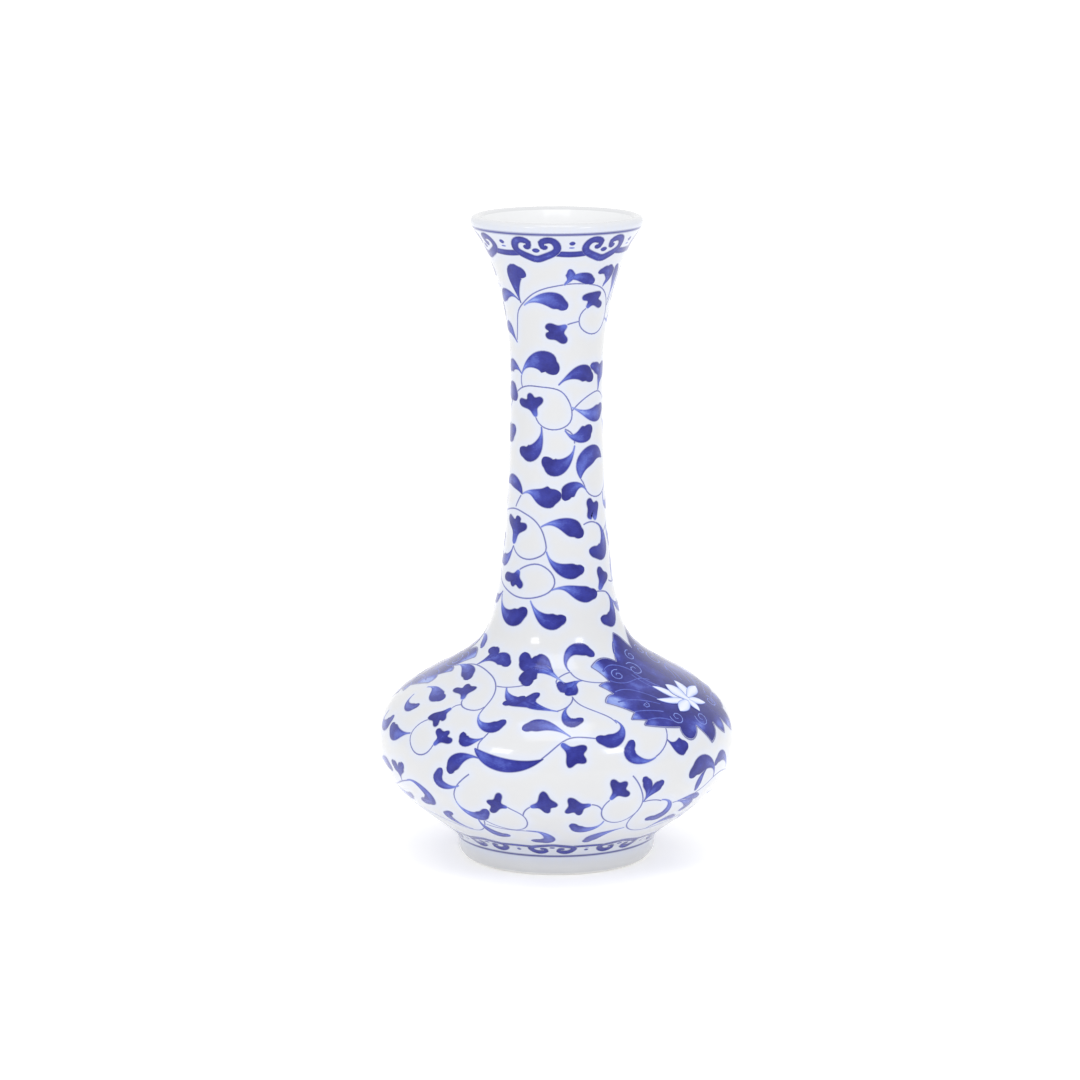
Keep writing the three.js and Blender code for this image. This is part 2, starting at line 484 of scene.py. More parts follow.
def pointed(width, fullest):
    def halves(share, _):
        warped = share ** (math.log(0.5) / math.log(fullest))
        return POINT + (width - POINT) * np.sin(math.pi * np.clip(warped, 0, 1)) ** 0.85
    return halves


def petal_shape(width, fullest):
    """A petal: broad where it springs from the flower's heart, and pointed."""
    def halves(share, _):
        past = np.clip((share - fullest) / (1 - fullest), 0, 1)
        body = width * (0.4 + 0.6 * smooth(share / fullest))
        return np.where(share < fullest, body, width * np.cos(math.pi / 2 * past) ** 0.7)
    return halves


def oval(width):
    return lambda share, _: width * np.sqrt(np.clip(1 - (2 * share - 1) ** 2, 0.02, 1))


def even(width):
    return lambda share, _: np.full_like(share, width)


def vine(*points, width=VINE, tone=0.68, bed=0.0, ground=None):
    return Stroke(points, even(width), (tone, tone), bed, columns=FINE, ground=ground)


def hooked(points, amount):
    """The points with the last one moved towards the inside of the curve, by an amount in mm."""
    scale = np.array([degree_at(points[-1][1]), 1])
    before, middle, end = (np.array(p) * scale for p in points[-3:])
    way = end - middle
    inwards = np.sign(np.cross(middle - before, way))
    return (*points[:-1], tuple((end + left_of(unit(way)) * inwards * amount) / scale))


def leaf(width, first, last, *points):
    """A leaf, with the tones of its stem and its round end, which hangs over inside its curve."""
    knob = KNOB * width
    points = hooked(points, HOOK * width)
    return Stroke(points, swelling(width, knob), (first, last), LEAF_BED, knob)


def sickle(width, first, last, *points, fullest=0.5):
    """A leaf that ends in a point."""
    return Stroke(points, pointed(width, fullest), (first, last), LEAF_BED)


def dot(azimuth, level, across, up, tone=0.7):
    """An oval spot, by its half-widths in mm."""
    half = across / degree_at(level)
    points = ((azimuth - half, level), (azimuth, level), (azimuth + half, level))
    return Stroke(points, oval(up), (tone, tone))


# ---- Small flowers

FLOWER_STEM = 0.34  # half-width of a flower's stem in mm
WAIST = 0.72  # half-width of a flower half way up its stem, as a share of its width
LOBE = 0.70  # radius of a flower's lobes, as a share of its width
LOBE_SIDE, LOBE_BACK = 0.9, 0.6  # from a lobe's tip to the widest points beside it, in its radii
NOTCH = 0.69  # how far out the notches between lobes lie, as a share of the lobes' reach
STEM_TOP, STEM_BACK = 0.96, 0.1  # where its outline starts: a share of its stem, and mm past it
FLOWER_STEP = 0.4  # mm between the points of its outline
FLOWER_TONES = (0.42, 0.95)  # depth of its wash at its stem and its lobes
FLOWER_RINGS = (0.3, 0.6, 0.85, 1)  # shares of the way from its heart to its soft edge
FLOWER_SHADE = (-0.08, -0.048, 0, 0.048, 0)  # how its tone changes at those rings and its rim


def loop(points, step):
    """Points of a smooth closed curve through the given ones, about a step apart."""
    padded = np.vstack([points[-3:], points, points[:4]])
    knots = distances(padded)
    start, end = knots[3], knots[3 + len(points)]
    count = max(12, round((end - start) / step))
    return spline(padded, (start + (end - start) * np.arange(count) / count) / knots[-1])


def trumpet(base, tips, width):
    """The outline (mm from the heart) of a flower: a stem that flares into lobes."""
    turn = np.arctan2(*base[::-1])
    tips = sorted(tips, key=lambda tip: (np.arctan2(*tip[::-1]) - turn) % (2 * math.pi))
    lobe = LOBE * width
    stem, across = unit(base), left_of(unit(base))
    waist = across * WAIST * width
    points = [base + stem * STEM_BACK, base + across * FLOWER_STEM, 0.5 * base + waist]
    for i, tip in enumerate(tips):
        way = unit(tip)
        if i:
            last = tips[i - 1]
            reach = min(np.linalg.norm(tip), np.linalg.norm(last))
            points.append(unit(way + unit(last)) * NOTCH * reach)
        side = LOBE_SIDE * lobe * left_of(way)
        back = tip - way * LOBE_BACK * lobe
        points += [back - side, tip, back + side]
    points += [0.5 * base - waist, base - across * FLOWER_STEM]
    return np.array(points)


def floret(width, base, heart, *tips):
    """A small flower that flares from its stem into lobes, given by their tips."""
    scale = np.array([degree_at(heart[1]), 1])
    base, *tips = ((np.array(place) - heart) * scale for place in (base, *tips))
    outline = loop(trumpet(base * STEM_TOP, tips, width), FLOWER_STEP)
    outwards = -left_of(unit(np.roll(outline, -1, axis=0) - np.roll(outline, 1, axis=0)))
    core, rim = outline - outwards * SOFT_EDGE, outline + outwards * BLEED
    rays = np.stack([core * share for share in FLOWER_RINGS] + [rim], axis=1)
    tone = smooth(1 - (rays @ base) / (base @ base), *FLOWER_TONES) + np.array(FLOWER_SHADE)
    return Patch(rays / scale + heart, heart, tone, FLOWER_BED)


# ---- Lenses of colour

def sections(stroke):
    """Shares of the length where a stroke's cross-sections are, and its length in mm."""
    at = np.array(stroke.points, float)
    scale = np.array([degree_at(at[:, 1].mean()), 1])
    size = length(spline(at * scale, np.linspace(0, 1, 9)))
    step = LEAF_STEP if len(stroke.columns) > 1 else STROKE_STEP
    count = max(5, math.ceil(size / step))
    if not stroke.knob:
        end = min(END_SHARE, END_GAP / size)
        return np.concatenate([[end], np.linspace(0, 1, count + 1)[1:-1], [1 - end]]), size
    cap = stroke.knob / size
    body = np.linspace(LEAF_START, 1 - cap, count, endpoint=False)
    return np.concatenate([body, 1 - cap + cap * ROUND_END]), size


class Painting:
    """Closed lenses of colour that are collected for one piece."""

    def __init__(self):
        self.points, self.normals, self.faces, self.ink, self.cover = [], [], [], [], []
        self.count = 0

    def collect(self, azimuth, level, lift, side, ink, cover):
        """Adds points on the wall that face out (side 1) or in (-1), and returns their numbers."""
        points, normals = on_wall(azimuth, level, lift)
        self.points.append(points.reshape(-1, 3))
        self.normals.append((normals * side).reshape(-1, 3))
        self.ink.append(ink.ravel())
        self.cover.append(cover.ravel())
        first, self.count = self.count, self.count + azimuth.size
        return first + np.arange(azimuth.size).reshape(azimuth.shape)

    def face(self, sheet, fans, flip):
        """Faces a sheet of numbered points, with a fan from each pole to an edge of the sheet."""
        corners = [sheet[:-1, :-1], sheet[1:, :-1], sheet[1:, 1:], sheet[:-1, 1:]]
        faces = np.stack(corners, axis=-1).reshape(-1, 4).tolist()
        for pole, edge in fans:
            faces += [(pole, a, b) for a, b in zip(edge, edge[1:])]
        self.faces += [face[::-1] if flip else face for face in faces]

    def add_stroke(self, stroke, turn, layer):
        shares, size = sections(stroke)
        middle = np.array(stroke.points, float)
        scale = np.array([degree_at(middle[:, 1].mean()), 1])
        everywhere = np.concatenate([[0], shares, [1]])
        line = spline(middle * scale, everywhere) / scale
        to_mm = np.stack([degree_at(line[:, 1]), np.ones(len(line))], axis=1)
        way = unit(np.gradient(line, axis=0) * to_mm)
        heading = np.unwrap(np.arctan2(way[:, 1], way[:, 0]))
        bend = np.gradient(heading, everywhere * size)[1:-1, None]
        halves = stroke.halves(shares, size)[:, None]
        core = np.maximum(halves - SOFT_EDGE, THIN_CORE * halves)
        across, shade = np.array(stroke.columns).T
        offsets = np.hstack([-(halves + BLEED), core * across, halves + BLEED])
        squeeze = np.minimum(1, ROOM / np.maximum(np.abs(bend) * (halves + BLEED), 1e-6))
        offsets = np.where(offsets * bend > 0, offsets * squeeze, offsets)
        azimuth = line[1:-1, :1] - offsets * way[1:-1, 1:] / to_mm[1:-1, :1] + turn
        level = line[1:-1, 1:] + offsets * way[1:-1, :1]

        ink = smooth(shares, *stroke.tones)[:, None] + np.concatenate([[0], shade, [0]])
        cover = np.ones_like(ink)
        if stroke.ground is None:
            cover[:, [0, -1]] = 0
        else:
            ink[:, [0, -1]] = stroke.ground
        bed = stroke.bed + layer
        lift = np.full(ink.shape, bed + CROWN_LIFT)
        lift[:, [0, -1]] = bed + EDGE_LIFT
        inner = np.s_[:, 1:-1]
        top = self.collect(azimuth, level, lift, 1, ink, cover)
        root = self.collect(
            azimuth[inner], level[inner], ROOT_DEPTH, -1, ink[inner], cover[inner])
        ends = line[[0, -1]] + np.array([[-1], [1]]) * way[[0, -1]] * BLEED / to_mm[[0, -1]]
        first, last = self.collect(
            ends[:, 0] + turn, ends[:, 1], bed + EDGE_LIFT, 1, ink[[0, 0], 0], cover[[0, 0], 0])
        root = np.hstack([top[:, :1], root, top[:, -1:]])
        for sheet, flip in ((top, False), (root, True)):
            self.face(sheet, ((first, sheet[0]), (last, sheet[-1, ::-1])), flip)

    def add_patch(self, patch, turn, layer):
        azimuth, level = patch.places[..., 0] + turn, patch.places[..., 1]
        bed = patch.bed + layer
        cover = np.ones_like(level)
        cover[:, -1] = 0
        lift = np.full(level.shape, bed + CROWN_LIFT)
        lift[:, -1] = bed + EDGE_LIFT
        inner = np.s_[:, :-1]
        top = self.collect(azimuth, level, lift, 1, patch.tone, cover)
        root = self.collect(
            azimuth[inner], level[inner], ROOT_DEPTH, -1, patch.tone[inner], cover[inner])
        poles = self.collect(
            np.full(2, patch.middle[0] + turn), np.full(2, patch.middle[1]),
            np.array([bed + CROWN_LIFT, ROOT_DEPTH]), np.array([[1], [-1]]),
            patch.tone[0, [0, 0]], np.ones(2))
        root = np.hstack([root, top[:, -1:]])
        for sheet, pole, flip in ((top, poles[0], True), (root, poles[1], False)):
            closed = np.vstack([sheet, sheet[:1]])
            self.face(closed, ((pole, closed[::-1, 0]),), flip)

    def piece(self, name):
        points = np.vstack(self.points)
        mesh = finish_mesh(name, points.tolist(), self.faces, cobalt).data
        for label, values in (("ink", self.ink), ("cover", self.cover)):
            layer = mesh.attributes.new(label, "FLOAT", "POINT")
            values = np.clip(np.concatenate(values), 0, 1)
            layer.data.foreach_set("value", values.astype(np.float32))
        mesh.normals_split_custom_set_from_vertices(np.vstack(self.normals).tolist())
        return points


painted_points = []


def paint(name, motifs, turns=(0,)):
    painting = Painting()
    for turn in turns:
        for i, motif in enumerate(motifs):
            add = painting.add_patch if isinstance(motif, Patch) else painting.add_stroke
            add(motif, turn, LAYER_LIFT * (i % LAYERS))
    painted_points.append(painting.piece(name))


# ---- Borders

# One scroll of a cloud head, from its tip round to its curl, in shares of its reach and its rise.
CLOUD_SCROLL = ((-0.14, 0.14), (0.03, 0.11), (0.28, 0.17), (0.62, 0.29), (0.87, 0.46), (0.86, 0.68),
                (0.68, 0.85), (0.44, 0.86), (0.27, 0.72), (0.34, 0.60), (0.50, 0.61))
CLOUD_TONES = (0.72, 0.8)
# Spots: how far up, and their half-widths across and up, in shares of the rise; and their tone.
CLOUD_DOT = (0.44, 0.13, 0.095, 0.7)
LINK_DOT = (0.73, 0.1, 0.09, 0.7)
LINK_DASH = (0.55, 0.09, 0.03, 0.45)
BAND_END, BAND_MIDDLE = (0.74, 0.34), 0.29  # the band's ends in shares, and its middle's share up
BAND_THICKNESS, BAND_TONES = 0.85, (0.76, 0.76)  # half-width as a share of a scroll's


def spot(azimuth, tip, rise, shares):
    up, across, half, tone = shares
    return dot(azimuth, tip + up * rise, abs(rise) * across, abs(rise) * half, tone)


def cloud_head(azimuth, tip, rise, reach, thickness):
    """A ruyi cloud head: two scrolls that spring from a tip, with a dot between them."""
    half = abs(rise) * thickness
    strokes = []
    for side in (-1, 1):
        points = [(azimuth + side * out * reach, tip + up * rise) for out, up in CLOUD_SCROLL]
        strokes.append(Stroke(points, blunt(half), CLOUD_TONES, LEAF_BED + 0.003 * side, half))
    return strokes + [spot(azimuth, tip, rise, CLOUD_DOT)]


def cloud_border(name, heads, tip, rise, reach, thickness):
    """Cloud heads in a ring, joined by a band, with a dot and a dash over each link."""
    motifs = []
    out, up = BAND_END
    for here, after in zip(heads, heads[1:] + [heads[0] + 360]):
        between = (here + after) / 2
        band = [(here + out * reach, tip + up * rise), (between, tip + BAND_MIDDLE * rise),
                (after - out * reach, tip + up * rise)]
        motifs += cloud_head(here, tip, rise, reach, thickness)
        motifs.append(Stroke(band, even(abs(rise) * BAND_THICKNESS * thickness), BAND_TONES))
        motifs += [spot(between, tip, rise, shares) for shares in (LINK_DOT, LINK_DASH)]
    paint(name, motifs)


RING_SECTORS = 12
RING_SHARES = (-0.62, -0.2, 0.2, 0.62)  # the points of a sector, which overlaps its neighbours


def ring(name, level, width, tone):
    """A line right round the wall."""
    span = 360 / RING_SECTORS
    motifs = []
    for i in range(RING_SECTORS):
        points = [(i * span + share * span, level) for share in RING_SHARES]
        motifs.append(vine(*points, width=width, tone=tone, bed=0.001 * (i % 2)))
    paint(name, motifs)


RIM_HEADS = [-70.5, -16, 38.5, 93, 142, 191, 240]
FOOT_HEADS = [-38 + 36 * i for i in range(10)]

ring("cobalt_rim_line", 208.4, 0.62, 0.85)
cloud_border("cobalt_rim_border", RIM_HEADS, 199.1, 8.5, 18.5, 0.138)
ring("cobalt_foot_line", 5.8, 0.48, 0.95)
cloud_border("cobalt_foot_border", FOOT_HEADS, 13.0, -6.1, 12.5, 0.165)


# ---- Scrolls, each drawn twice round

HALF_TURNS = (0, 180)

flare_scroll = [
    vine((-54, 175), (-50, 180), (-45, 184), (-38, 186), (-25, 189), (-10, 191), (0, 191.7),
         (15, 192.3), (30, 192), (45, 191), (58, 188.5), (66, 184.5), (66, 180.5), (58, 177.8),
         (45, 177), (35, 177.8), (27.5, 179.5), (25.5, 181.5), (28, 183.5), (33, 184.7)),
    leaf(2.9, 0.7, 0.78, (-40, 186), (-43, 190.5), (-40, 195.3), (-31, 196.3)),
    leaf(2.5, 0.3, 0.82, (-37, 185.4), (-25, 187.2), (-8, 187.7), (12, 186.4)),
    leaf(1.5, 0.4, 0.6, (7, 191.9), (12, 193.8), (14, 196.6)),
    leaf(1.8, 0.45, 0.8, (7, 191.9), (15, 194.2), (25, 194.1), (38, 193.4)),
    leaf(2.3, 0.6, 0.85, (50, 190.8), (55, 193), (57, 197)),
    leaf(1.4, 0.7, 0.8, (50.5, 191.2), (53, 195.5), (40.5, 196.2)),
    floret(1.6, (33, 184.7), (40, 187.2), (26.5, 188.3), (50, 189.2), (55, 184.9)),
    vine((12, 180.2), (19, 180.7), (25.3, 181.0)),
    floret(1.9, (12, 180.1), (0, 178), (-12, 180.3), (-12.5, 176.6), (11.5, 174.9)),
    leaf(1.9, 0.6, 0.7, (-42, 186.8), (-52, 188.4), (-62, 188.3), (-76, 187)),
    leaf(1.9, 0.55, 0.7, (-53.5, 174.3), (-60, 176.2), (-68, 178.2), (-80, 179)),
    vine((66, 184.5), (74, 187.5), (84, 189.5), (96, 190.8), (106, 190)),
    leaf(2.4, 0.45, 0.8, (78, 188.4), (84, 192.5), (93, 195), (102, 195)),
    leaf(2.2, 0.4, 0.85, (68, 181), (78, 180.2), (90, 181.2), (102, 184.2)),
    leaf(1.9, 0.5, 0.75, (66, 186.3), (70, 191.5), (68, 197.2)),
    leaf(1.5, 0.5, 0.8, (92, 190.6), (90, 187.8), (82, 185.6)),
]

neck_scroll = [
    # the upper loop
    vine((-92, 152), (-76, 156), (-62, 159.3), (-48, 161.6), (-34, 162.4), (-20, 162.3), (-5, 162),
         (5, 161.2), (15, 158.4), (19.3, 155), (17, 152.4), (10, 151), (0, 150.3), (-10, 150.4),
         (-19, 151.3), (-27, 154)),
    floret(1.7, (-25.5, 153.6), (-32, 157.4), (-53, 157.6), (-36, 160.4), (-16.5, 158.9)),
    vine((-48.5, 165.2), (-49, 163.4), (-47, 161.7)),
    leaf(3.3, 0.4, 0.95, (-48.5, 165), (-38, 168.4), (-20, 169.7), (2.5, 168.2)),
    leaf(2.0, 0.6, 0.7, (-48, 165.5), (-55, 166.9), (-65, 167.6), (-80, 167)),
    leaf(2.5, 0.5, 1.0, (2, 162.8), (15, 165.2), (31, 166.2), (51, 165.2)),
    leaf(2.4, 0.5, 0.75, (62, 160.4), (66, 164), (73, 168.6)),
    leaf(1.7, 0.6, 0.75, (62, 160.4), (63, 166), (49, 168.8)),
    vine((19, 155.4), (35, 158.5), (50, 160), (62, 160.3), (76, 158.4), (88, 154)),
    leaf(2.4, 0.35, 0.75, (18.5, 156.6), (34, 154.9), (52, 153.9), (76, 154.6)),
    leaf(3.1, 0.4, 0.8, (-100, 157.5), (-88, 159), (-74, 160), (-58.5, 159.8)),
    leaf(2.5, 0.4, 0.9, (10, 150.2), (22, 148), (34, 148.4), (49, 149.4)),
    leaf(2.7, 0.4, 0.98, (22.5, 145.8), (15, 141.8), (0, 139.6), (-17.5, 140.7)),
    vine((10, 150.4), (18, 149.3), (22.5, 146.2)),
    leaf(2.5, 0.45, 0.98, (-19, 151.2), (-20.5, 147), (-32, 143.4), (-49, 142.7)),
    leaf(2.9, 0.45, 0.8, (-104, 152), (-94, 149.6), (-80, 148), (-61, 148.4)),
    # the leaves between the loops
    sickle(2.8, 0.55, 0.8, (30, 136), (36, 141), (52, 142.9), (70, 141)),
    vine((30, 136), (34, 134.6), (38, 132.4), (50, 130.5), (66, 131), (80, 134), (92, 139), (96, 144)),
    leaf(2.3, 0.45, 0.95, (38, 132.5), (28, 134.2), (18, 133.4), (6, 131.4)),
    leaf(3.2, 0.35, 1.0, (-44, 131.4), (-32, 132.2), (-18, 131.2), (3, 130.2)),
    sickle(1.9, 0.8, 0.6, (-44, 131.2), (-54, 133.8), (-64, 134.7), (-82, 133.2)),
    vine((-55, 127.4), (-51, 129.2), (-46, 131)),
    floret(1.9, (50, 123.6), (48.5, 127.2), (38.5, 130), (57, 128.6), (39, 124.4)),
    # the lower loops
    vine((-84, 125.2), (-70, 126.2), (-55, 126.8), (-40, 126), (-27, 124.5), (-17, 121.7),
         (-12.4, 118.5), (-12, 115.6), (-20, 113.9), (-30, 113.1), (-42, 113.4), (-50, 114.6),
         (-55, 116.3)),
    floret(1.9, (-55, 116.5), (-51, 122.6), (-70, 124), (-48, 125), (-35, 121.9)),
    leaf(1.9, 0.5, 0.7, (-55, 116.2), (-60, 113.6), (-68, 111.8), (-82, 110.6)),
    leaf(2.6, 0.35, 1.0, (-18.5, 122.4), (-5, 123.7), (10, 123.2), (32.5, 121.2)),
    vine((32, 122.9), (42, 123.5), (51, 122.9)),
    leaf(2.6, 0.55, 0.85, (50, 123), (61, 120.6), (62, 115.6), (40, 113.8)),
    leaf(2.3, 0.4, 0.95, (-11, 115.8), (-5, 112.6), (10, 110.2), (29, 109.2)),
    vine((-42, 109.8), (-32, 111.3), (-20, 111.9), (-10, 110.8), (-3, 108.6), (-1.8, 106.6),
         (-5, 104.8), (-15, 103), (-30, 102), (-42, 102.1), (-56, 103.2), (-70, 104.8), (-84, 108)),
    floret(1.8, (-42, 109.8), (-47, 106.8), (-66, 107.2), (-52, 104.9), (-36, 105)),
    leaf(2.4, 0.35, 0.9, (-6, 104.6), (10, 105.2), (24, 103.6), (42, 101.7)),
    vine((40, 103.5), (50, 103.4), (57, 102.9)),
    floret(1.7, (47, 103.6), (55.5, 107), (48.5, 110.3), (65.5, 107.4)),
    leaf(2.3, 0.55, 0.85, (56, 103), (64, 100), (61, 95.6), (45, 94.3)),
    leaf(1.8, 0.5, 0.75, (64, 101), (72, 98.6), (80, 97.4), (94, 97.8)),
    leaf(2.4, 0.35, 1.0, (-26, 101.6), (-19, 98.4), (-8, 96), (8, 95.6)),
    leaf(2.6, 0.45, 0.95, (-66, 102), (-58, 97.4), (-46, 96), (-28, 97.6)),
    leaf(1.5, 0.6, 0.7, (-65, 102.6), (-71, 101), (-78, 99.8), (-86, 99.6)),
    # round the side
    vine((62, 118.6), (74, 121.6), (86, 123.4), (97, 125.2)),
    leaf(2.4, 0.4, 0.9, (74, 121.6), (80, 117.8), (90, 116.2), (100, 117.4)),
    leaf(2.0, 0.4, 0.85, (70, 131.4), (76, 127.4), (86, 127.6), (96, 130)),
    vine((66, 105.8), (76, 105), (88, 106.2), (97, 108.4)),
    leaf(2.0, 0.45, 0.8, (76, 105), (82, 110), (92, 112), (102, 111.4)),
]

shoulder_scroll = [
    vine((-82, 73), (-75, 76), (-66, 78.4), (-58, 79.4), (-50, 79.1), (-42, 77.8), (-36, 76),
         (-31, 72.5), (-29.3, 68), (-30, 64), (-30.5, 61)),
    leaf(2.0, 0.6, 0.85, (-57, 79.4), (-53, 82.2), (-50, 84.4), (-56, 86.4)),
    leaf(2.3, 0.5, 0.82, (-56, 79.8), (-49, 82.8), (-42, 83.6), (-31.5, 82.8)),
    leaf(2.3, 0.35, 0.85, (-75, 76.6), (-66, 77.5), (-57, 76.2), (-50, 74.8)),
    leaf(1.6, 0.4, 0.7, (-88, 88), (-80, 88.2), (-74, 87.2), (-67, 85.8)),
    floret(1.5, (-42.5, 65.6), (-45.5, 69.3), (-53, 68.6), (-48.5, 72), (-41, 71.4)),
    vine((-42.5, 65.6), (-41, 63.8), (-36, 62.5), (-32, 63), (-30, 64.5)),
    floret(1.5, (-44, 62), (-46.5, 58.6), (-51.5, 56.8), (-45.6, 54.6), (-43, 57.5)),
    vine((-41, 63.8), (-43, 63.2), (-44, 62)),
    vine((-50, 56.6), (-54, 53.6), (-55, 50.6), (-53.4, 47.8), (-50, 46), (-46, 46.5), (-43, 49.6)),
    floret(1.4, (-43, 49.4), (-40.2, 52.4), (-44.2, 54.2), (-38.4, 54.4), (-35.8, 51.4)),
    leaf(2.4, 0.45, 0.8, (-55.4, 51), (-60, 49.9), (-64.5, 49.2), (-70, 49.6)),
    leaf(2.5, 0.35, 0.8, (-71, 65.6), (-64, 66.4), (-58, 64.6), (-53, 63.2)),
    leaf(1.6, 0.5, 0.75, (-73, 61.8), (-71, 58.6), (-67, 57.6), (-61.5, 58.8)),
    leaf(2.0, 0.5, 0.75, (-80, 53.4), (-80, 50), (-76, 49.4), (-71, 52.2)),
    vine((-31.2, 73.2), (-25, 73.3), (-20, 74), (-15, 75)),
    vine((8.5, 80.2), (4, 79.2), (0, 77), (1, 74.8)),
    leaf(2.6, 0.3, 0.9, (4.6, 75.6), (-1, 78.8), (-9, 81.4), (-16, 82), (-27, 85.2)),
    leaf(2.7, 0.7, 0.92, (-5, 80.6), (-12, 81.4), (-16, 78.8), (-17.5, 75)),
    leaf(2.0, 0.6, 0.9, (-2, 80.2), (-10, 84.4), (-16, 85.4)),
    leaf(2.0, 0.4, 0.85, (1, 64.4), (-6, 65.6), (-11.5, 67.6), (-10.4, 72)),
    leaf(1.7, 0.6, 0.85, (-2, 64.8), (-10, 66.4), (-17, 67.4), (-23, 67.6)),
    leaf(1.9, 0.4, 0.85, (-25.4, 73.2), (-22.6, 70), (-18.5, 68.2), (-14, 69)),
    vine((0, 64.5), (4, 65.9), (7, 68.6), (7.5, 70.2)),
    leaf(2.0, 0.35, 0.85, (-30.4, 61.8), (-29, 59), (-24.6, 57.4), (-18.4, 59.2)),
    vine((-23, 57), (-24.4, 54.4), (-26, 51.8), (-25.4, 49.8)),
    leaf(1.8, 0.5, 0.9, (-24.8, 53.9), (-28, 52.6), (-30.6, 52.2), (-33.8, 53.8)),
    sickle(2.0, 0.6, 0.85, (-27, 50.6), (-22, 47.9), (-14, 46.6), (-4, 48.9), fullest=0.42),
    vine((-5, 48.6), (-1, 51.6), (2, 53.8), (5, 55), (9, 55.1), (14.5, 54.3)),
    leaf(2.2, 0.5, 0.9, (-24.6, 47.9), (-28, 48.2), (-32.6, 46.6), (-36.4, 43.6)),
    leaf(2.0, 0.5, 0.85, (8.5, 80.2), (6.4, 84.2), (11, 87.2), (20, 87.6), (29, 86.4)),
    vine((8.5, 80.2), (13, 77.2), (18, 76), (25, 75.3), (31, 75.2)),
    leaf(2.5, 0.45, 0.8, (14.6, 76.7), (10, 76), (5.6, 74.2), (0.6, 75)),
    leaf(1.9, 0.6, 0.85, (10, 76.8), (8.6, 73.4), (6, 70.6)),
    vine((7.2, 70.4), (10, 67), (14, 64.8), (18, 62.8), (21, 60.8), (22.2, 59)),
    leaf(2.2, 0.45, 0.85, (21.6, 60.4), (23.6, 57.4), (20.8, 54.2), (13.6, 53.4)),
    leaf(1.8, 0.4, 0.85, (5.2, 66.6), (3.2, 63.4), (4.4, 60.6), (10, 60.4)),
    leaf(2.2, 0.35, 0.8, (5, 55.2), (1, 57.6), (-4, 59.2), (-12, 59)),
    floret(1.5, (1.4, 53.5), (5.6, 50.2), (3.8, 46.4), (9.4, 47.8), (9.9, 52.4)),
    leaf(1.9, 0.45, 0.8, (33, 47.6), (28.4, 46.9), (24.2, 48.8), (24.6, 53.2)),
    vine((32, 47.3), (36, 49.3), (38.5, 51.6), (40.4, 56.2)),
    leaf(2.6, 0.7, 0.9, (38.6, 52), (41, 49.8), (46, 47.8)),
]

